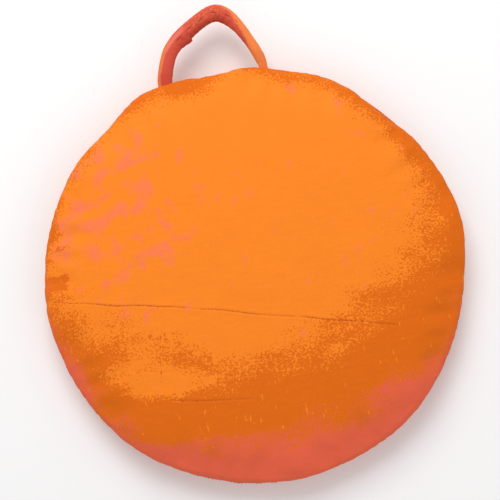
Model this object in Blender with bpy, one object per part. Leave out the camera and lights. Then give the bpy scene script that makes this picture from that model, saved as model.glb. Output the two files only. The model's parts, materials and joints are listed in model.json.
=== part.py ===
"""Round practice pad inside its zip-closing padded cover, with a padded carry handle.

Metres, +Z up. The pad lies on its back: the origin is the centre of the cover's flat back,
+Z points out of the crowned front, and +Y runs through the middle of the carry handle.
"""

import math

import bmesh
import bpy
from mathutils import Matrix, Vector

MM = 0.001
GAP = 0.3 * MM  # left between pieces that touch

# The cover
COVER_RADIUS = 190.2 * MM
FABRIC = 1.2 * MM
BAND_LOW = 4.0 * MM  # height of the seam between the back panel and the side band
BAND_HIGH = 28.0 * MM  # height of the seam between the side band and the front panel
LIP_INNER = 181.5 * MM  # to which both panels turn in under their rims
COVER_HIGH = 46.0 * MM  # top of the crown
CROWN_SHARPNESS = 3.0
CROWN_ROUNDING = 0.6
CROWN_STEPS = 9
CROWN_LAST_STEP = 2.0 * MM  # least distance from the dome's last even step to its edge
BAND_TUCK = 0.2 * MM  # by which the side bands lie inside the panels' rims
BACK_FLAT_RADIUS = 184.0 * MM
BACK_STEPS = 3
BACK_LIP = 0.9 * MM  # thickness of the back panel's folded edge

# The padding and lining of the cover
BACK_WADDING = 3.0 * MM
LINING = 0.6 * MM
BACK_WADDING_RADIUS = 178.5 * MM
FRONT_WADDING_RADIUS = 176.0 * MM
WADDING_EASE = 0.8 * MM  # between the front panel and the wadding under its crown
SIDE_WADDING_INNER = 174.9 * MM
SIDE_WADDING_OUTER = 177.5 * MM
SIDE_WADDING_HIGH = 26.0 * MM
BINDING_INNER = 179.3 * MM
BINDING_OUTER = 180.7 * MM
BINDING_WIDTH = 3.0 * MM
BACK_BINDING_RISE = 0.6 * MM  # of either binding's edge from its seam
FRONT_BINDING_DROP = 0.4 * MM

# The pad itself
GRIP_RING_INNER = 140.0 * MM
GRIP_RING_OUTER = 155.0 * MM
GRIP_RING_THICKNESS = 2.5 * MM
BOARD_RADIUS = 170.0 * MM
BOARD_THICKNESS = 12.0 * MM
GUARD_WALL = 4.2 * MM
GUARD_LIP = 3.5 * MM
GUARD_LIP_THICKNESS = 1.0 * MM
CUSHION_RADIUS = 165.8 * MM
CUSHION_THICKNESS = 4.0 * MM
RUBBER_THICKNESS = 4.0 * MM
EDGE_BEVEL = 0.8 * MM

# The zip runs round the upper half of the rim. The cover is slack there, so the arc of the zip
# is centred below the pad's own centre, and the rims of both panels stand out over it.
ZIP_SHIFT = 6.5 * MM
ZIP_START = math.asin(ZIP_SHIFT / COVER_RADIUS)  # angle about the arc's centre, from +X
ZIP_END = math.pi - ZIP_START
ZIP_HEIGHT = 16.0 * MM
ZIP_OPEN_WIDTH = 11.0 * MM  # between the edges of the two bands
TAPE_INNER = 187.6 * MM
TAPE_THICKNESS = 0.8 * MM
TAPE_EDGE = 0.6 * MM  # from the zip's centre line to either tape
TAPE_WIDTH = 9.6 * MM
TEETH_ROOT = 188.7 * MM
TEETH_DEPTH = 2.2 * MM
TEETH_WIDTH = 1.6 * MM
TEETH_END = math.radians(1.6)  # where the teeth stop short of the tape's ends
STOP_SPAN = math.radians(0.5)
STOP_GAP = math.radians(0.15)
TAB_BEFORE = math.radians(3.6)
TAB_AFTER = math.radians(0.8)
TAB_HIGH = 23.0 * MM
TAB_LOW = 9.0 * MM
TAB_THICKNESS = 0.8 * MM
TAB_CLEARANCE = 0.1 * MM  # from the panels' rims to either tab

# The zip slider and its pull; lengths run along the zip
SLIDER_ANGLE = ZIP_START + math.radians(4.8)
SLIDER_LENGTH = 11.0 * MM
SLIDER_WIDTH = 9.2 * MM
SLIDER_PLATE = 1.2 * MM
SLIDER_INNER = 185.9 * MM
SLIDER_OUTER = 191.2 * MM
SLIDER_WEB = 0.6 * MM
SLIDER_FLANGE = 1.2 * MM
SLIDER_FLANGE_ROOT = 189.3 * MM
OUTER_PLATE_BEVEL = 0.35 * MM
INNER_PLATE_BEVEL = 0.3 * MM
WEB_SHARE = 0.5  # of the slider's length
FLANGE_SHARE = 0.9
FLANGE_INSET = 0.05 * MM  # so that no two joined faces lie in one plane
ROOF_INSET = 0.01 * MM
BRIDGE_LENGTH = 6.0 * MM
BRIDGE_WIDTH = 2.0 * MM
BRIDGE_HEIGHT = 2.6 * MM
BRIDGE_WALL = 0.9 * MM
PULL_PIN_HEIGHT = 0.85 * MM  # of the pull's pin over the outer plate
PULL_THICKNESS = 0.9 * MM
PULL_PIN = 0.9 * MM
PULL_EYE_HALF_WIDTH = 1.4 * MM
PULL_EYE_REACH = 3.7 * MM
PULL_ARM = 1.2 * MM
PULL_LENGTH = 22.0 * MM
PULL_HOLE_AT = 17.5 * MM
PULL_HOLE_RADIUS = 1.3 * MM
PULL_ARC_STEPS = 8

# The carry handle: a padded sleeve whose two feet are sewn into the front seam
HANDLE_ROUTE = [
    (-43.0, 188.8),
    (-38.5, 202.0),
    (-27.0, 217.5),
    (-8.0, 230.3),
    (12.0, 237.2),
    (26.0, 229.0),
    (39.5, 205.0),
    (44.9, 188.8),
]  # mm, in plan, left foot to right foot
HANDLE_HALF_WIDTHS = [6.9, 6.9, 7.8, 7.8, 7.8, 6.6, 5.2, 4.7]  # mm, at those points
HANDLE_HALF_HEIGHT = 5.6 * MM
HANDLE_FOOT_HALF_HEIGHT = 1.4 * MM
HANDLE_FLARE = 20.0 * MM  # length over which a foot swells to the full height
HANDLE_WALL = 1.2 * MM
HANDLE_STEPS = 30
HANDLE_SIDES = 12
HANDLE_FINE_STEPS = 240  # along the smooth route that the sections are read from
CORE_STEPS = 18
CORE_SIDES = 10
CORE_CLEARANCE = 0.5 * MM
CORE_FROM = 0.14  # part of the handle's length at which the core begins
CORE_TO = 0.86
PATCH_WIDTH = 16.0 * MM
PATCH_INNER = 177.8 * MM
PATCH_THICKNESS = 0.7 * MM
PATCH_LOW = 19.0 * MM
PATCH_HIGH = 27.0 * MM

ROUND_STEPS = 60  # straight sides to a full turn
STRIP_STEPS = 120  # the same, for the strips that the zip runs along


def clear_scene():
    for item in list(bpy.data.objects):
        bpy.data.objects.remove(item, do_unlink=True)


def make_material(name, color, roughness, metallic=0.0):
    material = bpy.data.materials.new(name)
    material.use_nodes = True
    shader = material.node_tree.nodes["Principled BSDF"]
    shader.inputs["Base Color"].default_value = (*color, 1.0)
    shader.inputs["Roughness"].default_value = roughness
    shader.inputs["Metallic"].default_value = metallic
    return material


def add_object(name, bm, material, smooth_angle=40.0):
    """Turns a bmesh into a named, shaded object."""
    bmesh.ops.remove_doubles(bm, verts=bm.verts, dist=1e-6)
    bmesh.ops.recalc_face_normals(bm, faces=bm.faces)
    mesh = bpy.data.meshes.new(name)
    bm.to_mesh(mesh)
    bm.free()
    mesh.materials.append(material)
    mesh.shade_smooth()
    mesh.set_sharp_from_angle(angle=math.radians(smooth_angle))
    item = bpy.data.objects.new(name, mesh)
    bpy.context.scene.collection.objects.link(item)
    return item


def skin_rings(bm, rings, closed):
    """Joins equal rings of points into a wall, and caps the two ends unless it closes on itself."""
    loops = [[bm.verts.new(point) for point in ring] for ring in rings]
    sides = len(loops[0])
    count = len(loops) if closed else len(loops) - 1
    for index in range(count):
        here = loops[index]
        after = loops[(index + 1) % len(loops)]
        for side in range(sides):
            other = (side + 1) % sides
            bm.faces.new((here[side], here[other], after[other], after[side]))
    if not closed:
        bm.faces.new(loops[0])
        bm.faces.new(loops[-1])


def at_angle(radius, height, angle, shift=0.0):
    """A point on a circle about +Z, or about a line that is shifted towards -Y."""
    return Vector((radius * math.cos(angle), radius * math.sin(angle) - shift, height))


def turned(name, profile, material):
    """A piece turned about +Z from (radius, height) points. Points on the axis close it."""
    bm = bmesh.new()
    points = [bm.verts.new((radius, 0.0, height)) for radius, height in profile]
    edges = [bm.edges.new((points[i - 1], points[i])) for i in range(1, len(points))]
    if profile[0][0] > 0.0:
        edges.append(bm.edges.new((points[-1], points[0])))
    bmesh.ops.spin(
        bm,
        geom=points + edges,
        cent=(0.0, 0.0, 0.0),
        axis=(0.0, 0.0, 1.0),
        angle=math.tau,
        steps=ROUND_STEPS,
        use_merge=True,
    )
    # A profile point on the axis spins into edges of no length, which merging removes.
    return add_object(name, bm, material)


def arc_strip(name, start, end, inner, outer, low, high, material, shift=0.0):
    """A strip that follows the rim from one angle to another."""
    steps = max(1, round((end - start) / (math.tau / STRIP_STEPS)))
    rings = []
    for index in range(steps + 1):
        angle = start + (end - start) * index / steps
        corners = [(inner, low), (outer, low), (outer, high), (inner, high)]
        rings.append([at_angle(radius, height, angle, shift) for radius, height in corners])
    bm = bmesh.new()
    skin_rings(bm, rings, closed=False)
    return add_object(name, bm, material)


def disc_profile(radius, low, high, bevel=0.0):
    """Axis to rim and back, with an optional bevel at the rim."""
    if not bevel:
        return [(0.0, low), (radius, low), (radius, high), (0.0, high)]
    return [
        (0.0, low),
        (radius - bevel, low),
        (radius, low + bevel),
        (radius, high - bevel),
        (radius - bevel, high),
        (0.0, high),
    ]


def ring_profile(inner, outer, low, high):
    return [(inner, low), (outer, low), (outer, high), (inner, high)]


def crown_height(radius, rim, rise):
    """Height of a domed surface that is level at the centre and upright at its rim."""
    part = min(1.0, radius / rim)
    return BAND_HIGH + GAP + rise * (1.0 - part**CROWN_SHARPNESS) ** CROWN_ROUNDING


def crown_profile(rim, rise, reach):
    """Points from the axis outwards over the dome, closer together near the rim, as far as reach."""
    points = []
    for index in range(CROWN_STEPS + 1):
        radius = rim * (1.0 - (1.0 - index / CROWN_STEPS) ** 2)
        if radius < reach - CROWN_LAST_STEP or index == 0:
            points.append((radius, crown_height(radius, rim, rise)))
    points.append((reach, crown_height(reach, rim, rise)))
    return points


def build_cover_panels(fabric):
    """Both panels turn in under their rims, to the seams that join them to the side bands."""
    rise = COVER_HIGH - BAND_HIGH - GAP
    seam = BAND_HIGH + GAP
    outside = crown_profile(COVER_RADIUS, rise, COVER_RADIUS)
    inner_rim = COVER_RADIUS - FABRIC
    inside = crown_profile(inner_rim, rise - FABRIC, inner_rim)
    # The last point inside is lifted by the lip's thickness.
    inside[-1] = (inner_rim, seam + FABRIC)
    lip = [(LIP_INNER, seam), (LIP_INNER, seam + FABRIC)]
    turned("front_panel", outside + lip + inside[::-1], fabric)

    curl_width = COVER_RADIUS - BACK_FLAT_RADIUS
    seam = BAND_LOW - GAP
    outside = [(0.0, 0.0)]
    for index in range(BACK_STEPS + 1):
        turn = index / BACK_STEPS * math.pi / 2
        radius = BACK_FLAT_RADIUS + curl_width * math.sin(turn)
        outside.append((radius, seam * (1.0 - math.cos(turn))))
    folded = seam - BACK_LIP
    inside = [
        (LIP_INNER, seam),
        (LIP_INNER, folded),
        (COVER_RADIUS - 2 * FABRIC, folded),
        (BACK_FLAT_RADIUS, FABRIC),
        (0.0, FABRIC),
    ]
    turned("back_panel", outside + inside, fabric)


def build_side_bands(fabric):
    outer = COVER_RADIUS - BAND_TUCK
    inner = outer - FABRIC
    margin = GAP / COVER_RADIUS
    arc_strip(
        "side_band", math.pi + margin, math.tau - margin,
        inner, outer, BAND_LOW, BAND_HIGH, fabric,
    )
    lower_edge = ZIP_HEIGHT - ZIP_OPEN_WIDTH / 2
    upper_edge = ZIP_HEIGHT + ZIP_OPEN_WIDTH / 2
    strips = (("zip_band_back", BAND_LOW, lower_edge), ("zip_band_front", upper_edge, BAND_HIGH))
    for name, low, high in strips:
        arc_strip(name, ZIP_START, ZIP_END, inner, outer, low, high, fabric, ZIP_SHIFT)


def build_padding(wadding, lining, binding):
    low = FABRIC + GAP
    high = low + BACK_WADDING
    turned("back_wadding", disc_profile(BACK_WADDING_RADIUS, low, high), wadding)
    low = high + GAP
    high = low + LINING
    turned("back_lining", disc_profile(BACK_WADDING_RADIUS, low, high), lining)
    low = high + GAP
    profile = ring_profile(SIDE_WADDING_INNER, SIDE_WADDING_OUTER, low, SIDE_WADDING_HIGH)
    turned("side_wadding", profile, wadding)

    back_low = BAND_LOW + BACK_BINDING_RISE
    profile = ring_profile(BINDING_INNER, BINDING_OUTER, back_low, back_low + BINDING_WIDTH)
    turned("back_seam_binding", profile, binding)
    front_high = BAND_HIGH - FRONT_BINDING_DROP
    profile = ring_profile(BINDING_INNER, BINDING_OUTER, front_high - BINDING_WIDTH, front_high)
    turned("front_seam_binding", profile, binding)
    return low


def build_pad(low, rubber, wood, foam, playing, guard):
    """Stacks the pad's own layers from the given height up, and returns the height of its top."""
    high = low + GRIP_RING_THICKNESS
    turned("base_grip_ring", ring_profile(GRIP_RING_INNER, GRIP_RING_OUTER, low, high), rubber)

    board_low = high + GAP
    board_high = board_low + BOARD_THICKNESS
    turned("base_board", disc_profile(BOARD_RADIUS, board_low, board_high, EDGE_BEVEL), wood)

    wall = BOARD_RADIUS + GAP
    lip = wall - GUARD_LIP
    under = board_low - GAP
    over = board_high + GAP
    profile = [
        (lip, under),
        (lip, under - GUARD_LIP_THICKNESS),
        (wall + GUARD_WALL - EDGE_BEVEL, under - GUARD_LIP_THICKNESS),
        (wall + GUARD_WALL, under - GUARD_LIP_THICKNESS + EDGE_BEVEL),
        (wall + GUARD_WALL, over + GUARD_LIP_THICKNESS - EDGE_BEVEL),
        (wall + GUARD_WALL - EDGE_BEVEL, over + GUARD_LIP_THICKNESS),
        (lip, over + GUARD_LIP_THICKNESS),
        (lip, over),
        (wall, over),
        (wall, under),
    ]
    turned("edge_guard", profile, guard)

    low = board_high + GAP
    high = low + CUSHION_THICKNESS
    turned("cushion_layer", disc_profile(CUSHION_RADIUS, low, high), foam)
    low = high + GAP
    high = low + RUBBER_THICKNESS
    profile = disc_profile(CUSHION_RADIUS, low, high, EDGE_BEVEL)
    turned("playing_surface", profile, playing)
    return high


def build_front_padding(pad_top, wadding, lining):
    low = pad_top + GAP
    high = low + LINING
    turned("front_lining", disc_profile(FRONT_WADDING_RADIUS, low, high), lining)
    low = high + GAP
    rise = COVER_HIGH - BAND_HIGH - GAP - FABRIC - WADDING_EASE
    dome = crown_profile(COVER_RADIUS - FABRIC, rise, FRONT_WADDING_RADIUS)
    turned("front_wadding", [(0.0, low), (FRONT_WADDING_RADIUS, low)] + dome[::-1], wadding)


def build_zip(tape, teeth, metal, fabric):
    tape_outer = TAPE_INNER + TAPE_THICKNESS
    for side, sign in (("front", 1), ("back", -1)):
        edges = (ZIP_HEIGHT + sign * TAPE_EDGE, ZIP_HEIGHT + sign * (TAPE_EDGE + TAPE_WIDTH))
        arc_strip(
            "zip_tape_" + side, ZIP_START, ZIP_END,
            TAPE_INNER, tape_outer, min(edges), max(edges), tape, ZIP_SHIFT,
        )
        edges = (ZIP_HEIGHT + sign * TAPE_EDGE, ZIP_HEIGHT + sign * (TAPE_EDGE + TEETH_WIDTH))
        arc_strip(
            "zip_teeth_" + side, ZIP_START + TEETH_END, ZIP_END - TEETH_END,
            TEETH_ROOT, TEETH_ROOT + TEETH_DEPTH, min(edges), max(edges), teeth, ZIP_SHIFT,
        )
    build_zip_stops(metal)
    tab_inner = COVER_RADIUS + TAB_CLEARANCE
    tab_outer = tab_inner + TAB_THICKNESS
    arc_strip(
        "zip_end_tab_right", ZIP_START - TAB_BEFORE, ZIP_START + TAB_AFTER,
        tab_inner, tab_outer, TAB_LOW, TAB_HIGH, fabric, ZIP_SHIFT,
    )
    arc_strip(
        "zip_end_tab_left", ZIP_END - TAB_AFTER, ZIP_END + TAB_BEFORE,
        tab_inner, tab_outer, TAB_LOW, TAB_HIGH, fabric, ZIP_SHIFT,
    )


def build_zip_stops(metal):
    """Two stops at the closed end, one on each row of teeth, and one across both at the far end."""
    near = (TAPE_EDGE, TAPE_EDGE + TEETH_WIDTH)
    near_end = ZIP_START + TEETH_END - STOP_GAP
    far_start = ZIP_END - TEETH_END + STOP_GAP
    stops = [
        ("zip_top_stop_front", near_end - STOP_SPAN, near[0], near[1]),
        ("zip_top_stop_back", near_end - STOP_SPAN, -near[1], -near[0]),
        ("zip_bottom_stop", far_start, -near[1], near[1]),
    ]
    for name, start, low, high in stops:
        arc_strip(
            name, start, start + STOP_SPAN, TEETH_ROOT, TEETH_ROOT + TEETH_DEPTH,
            ZIP_HEIGHT + low, ZIP_HEIGHT + high, metal, ZIP_SHIFT,
        )


def block(name, size, centre, bevel, material):
    """A box with its edges bevelled, in the frame of its parent."""
    bm = bmesh.new()
    bmesh.ops.create_cube(bm, size=1.0)
    bmesh.ops.scale(bm, vec=size, verts=bm.verts)
    if bevel:
        bmesh.ops.bevel(bm, geom=bm.edges[:], offset=bevel, segments=1, affect="EDGES")
    bmesh.ops.translate(bm, vec=centre, verts=bm.verts)
    return add_object(name, bm, material)


def make_cutter(item):
    item.hide_render = True
    item.display_type = "WIRE"


def add_boolean(item, other, operation):
    modifier = item.modifiers.new(operation.lower() + "_" + other.name, "BOOLEAN")
    modifier.operation = operation
    modifier.object = other
    modifier.solver = "EXACT"


def zip_anchor(name, angle, radius):
    """An empty on the zip: local +X along the zip, +Y out of the rim, +Z up."""
    anchor = bpy.data.objects.new(name, None)
    bpy.context.scene.collection.objects.link(anchor)
    along = Vector((-math.sin(angle), math.cos(angle), 0.0))
    outward = Vector((math.cos(angle), math.sin(angle), 0.0))
    # The local X axis runs against the angle, which keeps the frame right-handed.
    frame = Matrix((-along, outward, Vector((0.0, 0.0, 1.0)))).transposed().to_4x4()
    frame.translation = at_angle(radius, ZIP_HEIGHT, angle, ZIP_SHIFT)
    anchor.matrix_world = frame
    return anchor


def build_slider(metal):
    """Two plates joined by a web that runs between the teeth, with a bridge for the pull."""
    anchor = zip_anchor("zip_slider_place", SLIDER_ANGLE, 0.0)
    plate = (SLIDER_LENGTH, SLIDER_PLATE, SLIDER_WIDTH)
    outer_top = SLIDER_OUTER + SLIDER_PLATE
    outer_centre = SLIDER_OUTER + SLIDER_PLATE / 2
    slider = block("zip_slider", plate, (0.0, outer_centre, 0.0), OUTER_PLATE_BEVEL, metal)
    inner_centre = SLIDER_INNER + SLIDER_PLATE / 2
    web_low = inner_centre
    web_high = outer_centre
    web = (SLIDER_LENGTH * WEB_SHARE, web_high - web_low, SLIDER_WEB)
    flange = (SLIDER_LENGTH * FLANGE_SHARE, web_high - SLIDER_FLANGE_ROOT, SLIDER_FLANGE)
    flange_middle = (web_high + SLIDER_FLANGE_ROOT) / 2
    flange_side = (SLIDER_WIDTH - SLIDER_FLANGE) / 2 - FLANGE_INSET
    leg = (BRIDGE_WALL, BRIDGE_HEIGHT + SLIDER_PLATE / 2, BRIDGE_WIDTH)
    leg_side = (BRIDGE_LENGTH - BRIDGE_WALL) / 2
    leg_middle = outer_top + BRIDGE_HEIGHT / 2 - SLIDER_PLATE / 4
    roof = (BRIDGE_LENGTH - 2 * ROOF_INSET, BRIDGE_WALL, BRIDGE_WIDTH - 2 * ROOF_INSET)
    roof_middle = outer_top + BRIDGE_HEIGHT - BRIDGE_WALL / 2 - ROOF_INSET
    additions = [
        ("inner_plate", plate, (0.0, inner_centre, 0.0), INNER_PLATE_BEVEL),
        ("web", web, (0.0, (web_low + web_high) / 2, 0.0), 0.0),
        ("flange_up", flange, (0.0, flange_middle, flange_side), 0.0),
        ("flange_down", flange, (0.0, flange_middle, -flange_side), 0.0),
        ("bridge_leg_near", leg, (-leg_side, leg_middle, 0.0), 0.0),
        ("bridge_leg_far", leg, (leg_side, leg_middle, 0.0), 0.0),
        ("bridge_roof", roof, (0.0, roof_middle, 0.0), 0.0),
    ]
    for name, size, centre, bevel in additions:
        addition = block("slider_" + name, size, centre, bevel, metal)
        addition.parent = anchor
        make_cutter(addition)
        add_boolean(slider, addition, "UNION")
    slider.parent = anchor
    return anchor


def rounded_outline(start, end, half_width):
    """A long outline along +X with a half-round far end, as flat points."""
    points = [(start, -half_width), (end - half_width, -half_width)]
    for index in range(1, PULL_ARC_STEPS):
        turn = -math.pi / 2 + math.pi * index / PULL_ARC_STEPS
        x = end - half_width + half_width * math.cos(turn)
        points.append((x, half_width * math.sin(turn)))
    points += [(end - half_width, half_width), (start, half_width)]
    return points


def build_pull(metal):
    """A flat tab with an eye whose end bar is the pin under the slider's bridge."""
    anchor = zip_anchor("zip_pull_place", SLIDER_ANGLE, SLIDER_OUTER + SLIDER_PLATE + PULL_PIN_HEIGHT)
    # The pin sits over the slider's middle, on the anchor, with its length along +Z.
    half_width = PULL_EYE_HALF_WIDTH + PULL_ARM
    outline = rounded_outline(-PULL_PIN / 2, PULL_LENGTH, half_width)
    eye = [
        (PULL_PIN / 2, -PULL_EYE_HALF_WIDTH),
        (PULL_EYE_REACH, -PULL_EYE_HALF_WIDTH),
        (PULL_EYE_REACH, PULL_EYE_HALF_WIDTH),
        (PULL_PIN / 2, PULL_EYE_HALF_WIDTH),
    ]
    hole = []
    for index in range(2 * PULL_ARC_STEPS):
        turn = math.tau * index / (2 * PULL_ARC_STEPS)
        x = PULL_HOLE_AT + PULL_HOLE_RADIUS * math.cos(turn)
        hole.append((x, PULL_HOLE_RADIUS * math.sin(turn)))
    curve = bpy.data.curves.new("zip_pull", "CURVE")
    curve.dimensions = "2D"
    curve.fill_mode = "BOTH"
    curve.extrude = PULL_THICKNESS / 2
    for points in (outline, eye, hole):
        spline = curve.splines.new("POLY")
        spline.points.add(len(points) - 1)
        for point, (x, y) in zip(spline.points, points):
            point.co = (x, y, 0.0, 1.0)
        spline.use_cyclic_u = True
    curve.materials.append(metal)
    pull = bpy.data.objects.new("zip_pull", curve)
    bpy.context.scene.collection.objects.link(pull)
    pull.parent = anchor
    # The tab points back over the closed teeth and lies flat against the rim.
    pull.matrix_local = Matrix.Rotation(math.pi, 4, "Z") @ Matrix.Rotation(math.pi / 2, 4, "X")
    return anchor


def smooth_route(points, count):
    """Evenly numbered points on the Catmull-Rom curve through the given ones."""
    ends = [points[0] * 2 - points[1]] + points + [points[-1] * 2 - points[-2]]
    spans = len(points) - 1
    route = []
    for index in range(count + 1):
        place = spans * index / count
        span = min(int(place), spans - 1)
        t = place - span
        a, b, c, d = ends[span : span + 4]
        route.append(
            0.5 * (2 * b + (c - a) * t + (2 * a - 5 * b + 4 * c - d) * t**2)
            + 0.5 * (3 * b - a - 3 * c + d) * t**3
        )
    return route


def handle_sections(steps, start, end, sides, shrink):
    """Oval rings along the handle between two parts of its length, each smaller by shrink."""
    knots = [Vector((x * MM, y * MM, w * MM)) for (x, y), w in zip(HANDLE_ROUTE, HANDLE_HALF_WIDTHS)]
    fine = smooth_route(knots, HANDLE_FINE_STEPS)
    lengths = [0.0]
    for index in range(1, len(fine)):
        lengths.append(lengths[-1] + (fine[index].xy - fine[index - 1].xy).length)
    rings = []
    for index in range(steps + 1):
        wanted = lengths[-1] * (start + (end - start) * index / steps)
        near = min(range(1, len(fine) - 1), key=lambda i: abs(lengths[i] - wanted))
        if wanted == 0.0:
            near = 0
        if wanted >= lengths[-1]:
            near = len(fine) - 1
        before = fine[max(0, near - 1)]
        after = fine[min(len(fine) - 1, near + 1)]
        along = (after.xy - before.xy).normalized()
        across = Vector((-along.y, along.x, 0.0))
        centre = Vector((fine[near].x, fine[near].y, BAND_HIGH))
        from_foot = min(lengths[near], lengths[-1] - lengths[near])
        swell = math.sin(min(1.0, from_foot / HANDLE_FLARE) * math.pi / 2)
        half_height = HANDLE_FOOT_HALF_HEIGHT + (HANDLE_HALF_HEIGHT - HANDLE_FOOT_HALF_HEIGHT) * swell
        half_width = fine[near].z
        ring = []
        for side in range(sides):
            turn = math.tau * side / sides
            out = across * (half_width - shrink) * math.cos(turn)
            up = Vector((0.0, 0.0, (half_height - shrink) * math.sin(turn)))
            ring.append(centre + out + up)
        rings.append(ring)
    return rings


def build_handle(fabric, wadding):
    """The sleeve is an open-ended tube, and the core is a soft cord inside it."""
    outside = handle_sections(HANDLE_STEPS, 0.0, 1.0, HANDLE_SIDES, 0.0)
    inside = handle_sections(HANDLE_STEPS, 0.0, 1.0, HANDLE_SIDES, HANDLE_WALL)
    bm = bmesh.new()
    # Out along the outer wall and back along the inner wall makes one closed skin.
    skin_rings(bm, outside + inside[::-1], closed=True)
    add_object("handle_sleeve", bm, fabric)

    shrink = HANDLE_WALL + CORE_CLEARANCE
    rings = handle_sections(CORE_STEPS, CORE_FROM, CORE_TO, CORE_SIDES, shrink)
    bm = bmesh.new()
    skin_rings(bm, rings, closed=False)
    add_object("handle_core", bm, wadding)


def build_handle_patches(webbing):
    """A square of webbing behind each foot, inside the side band."""
    for side, foot in (("left", HANDLE_ROUTE[0]), ("right", HANDLE_ROUTE[-1])):
        middle = math.atan2(foot[1], foot[0])
        half_turn = PATCH_WIDTH / 2 / COVER_RADIUS
        arc_strip(
            "handle_patch_" + side, middle - half_turn, middle + half_turn,
            PATCH_INNER, PATCH_INNER + PATCH_THICKNESS, PATCH_LOW, PATCH_HIGH, webbing,
        )


def main():
    clear_scene()
    fabric = make_material("orange_fabric", (0.83, 0.22, 0.03), 0.72)
    lining = make_material("lining_fabric", (0.10, 0.10, 0.11), 0.8)
    wadding = make_material("foam_wadding", (0.72, 0.70, 0.64), 0.95)
    webbing = make_material("webbing", (0.55, 0.14, 0.03), 0.85)
    tape = make_material("zip_tape", (0.62, 0.17, 0.03), 0.8)
    teeth = make_material("zip_teeth", (0.70, 0.20, 0.04), 0.35)
    metal = make_material("zip_metal", (0.66, 0.20, 0.05), 0.4, 0.3)
    rubber = make_material("grip_rubber", (0.03, 0.03, 0.03), 0.9)
    guard = make_material("guard_rubber", (0.05, 0.05, 0.05), 0.7)
    playing = make_material("playing_rubber", (0.28, 0.28, 0.29), 0.75)
    foam = make_material("cushion_foam", (0.08, 0.08, 0.09), 0.95)
    wood = make_material("board_wood", (0.42, 0.27, 0.15), 0.7)

    build_cover_panels(fabric)
    build_side_bands(fabric)
    pad_low = build_padding(wadding, lining, webbing)
    pad_top = build_pad(pad_low, rubber, wood, foam, playing, guard)
    build_front_padding(pad_top, wadding, lining)
    build_zip(tape, teeth, metal, fabric)
    build_slider(metal)
    build_pull(metal)
    build_handle(fabric, wadding)
    build_handle_patches(webbing)


main()
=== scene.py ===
import json
import math

import bmesh
import bpy
import numpy as np
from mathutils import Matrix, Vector, noise
from mathutils.bvhtree import BVHTree
from mathutils.kdtree import KDTree


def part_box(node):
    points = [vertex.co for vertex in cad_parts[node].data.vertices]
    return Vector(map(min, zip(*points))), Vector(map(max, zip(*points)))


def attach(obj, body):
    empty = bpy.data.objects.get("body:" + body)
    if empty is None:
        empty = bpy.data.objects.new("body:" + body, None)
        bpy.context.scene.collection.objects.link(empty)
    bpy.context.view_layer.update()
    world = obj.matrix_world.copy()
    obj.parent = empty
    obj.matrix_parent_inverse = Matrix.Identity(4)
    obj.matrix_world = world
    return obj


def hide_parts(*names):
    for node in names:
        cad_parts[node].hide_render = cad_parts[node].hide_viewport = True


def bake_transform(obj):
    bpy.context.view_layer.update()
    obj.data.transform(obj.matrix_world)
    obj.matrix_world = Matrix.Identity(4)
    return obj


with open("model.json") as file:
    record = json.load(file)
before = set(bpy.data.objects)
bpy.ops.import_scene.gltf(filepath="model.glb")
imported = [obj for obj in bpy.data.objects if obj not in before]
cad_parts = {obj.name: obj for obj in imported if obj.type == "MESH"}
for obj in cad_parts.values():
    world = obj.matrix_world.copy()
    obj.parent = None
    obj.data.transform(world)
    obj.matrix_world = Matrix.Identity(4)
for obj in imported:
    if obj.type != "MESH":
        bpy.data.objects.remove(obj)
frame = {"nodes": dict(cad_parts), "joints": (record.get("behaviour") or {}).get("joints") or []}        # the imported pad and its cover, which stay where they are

print("frame loaded")
mm = 0.001
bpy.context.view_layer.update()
joints = {joint["name"]: joint for joint in frame["joints"]}
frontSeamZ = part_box("front_panel")[0].z
bandRadius = -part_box("side_band")[0].y
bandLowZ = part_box("side_band")[0].z
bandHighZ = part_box("side_band")[1].z
zipCentre = Vector(joints["zip_travel"]["pos_m"])
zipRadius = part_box("zip_band_front")[1].y - zipCentre.y
zipZ = zipCentre.z
zipStart = math.asin(-zipCentre.y / zipRadius)  # where the zip's arc meets the plain half of the rim
zipSweep = math.pi - 2 * zipStart
axisCentre = Vector((0, 0, 0))
# the rim's two halves: centre, radius, where each starts and how far it goes round
plainHalf = (axisCentre, bandRadius, math.pi, math.pi)
zipHalf = (zipCentre, zipRadius, zipStart, zipSweep)


def deselect():
    if bpy.context.object and bpy.context.object.mode != "OBJECT":
        bpy.ops.object.mode_set(mode="OBJECT")
    bpy.ops.object.select_all(action="DESELECT")


def takeUp(piece):
    deselect()
    piece.select_set(True)
    bpy.context.view_layer.objects.active = piece


def named(name):
    piece = bpy.context.object
    piece.name = name
    piece.data.name = name
    return piece


def disc(name, sides, radius, place=(0, 0, 0), fill="NGON"):
    bpy.ops.mesh.primitive_circle_add(vertices=sides, radius=radius, fill_type=fill, location=place)
    return named(name)


def edit(piece):
    takeUp(piece)
    bpy.ops.object.mode_set(mode="EDIT")


def leaveEdit():
    bpy.ops.object.mode_set(mode="OBJECT")


def selectAll():
    bpy.ops.mesh.select_all(action="SELECT")


def pickFaces(piece, test):
    # selects the faces that pass the test, in edit mode
    bpy.ops.mesh.select_mode(type="FACE")
    bpy.ops.mesh.select_all(action="DESELECT")
    cage = bmesh.from_edit_mesh(piece.data)
    for face in cage.faces:
        if test(face):
            face.select_set(True)
    cage.select_flush_mode()
    bmesh.update_edit_mesh(piece.data)


def allFaces(piece):
    edit(piece)
    selectAll()
    bpy.ops.mesh.select_mode(type="FACE")


def drawOut(move, grow=1):
    # extrudes what is selected, and makes its end wider or narrower
    bpy.ops.mesh.extrude_region_move(TRANSFORM_OT_translate={"value": move})
    if grow != 1:
        bpy.ops.transform.resize(value=(grow, grow, 1))


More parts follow.
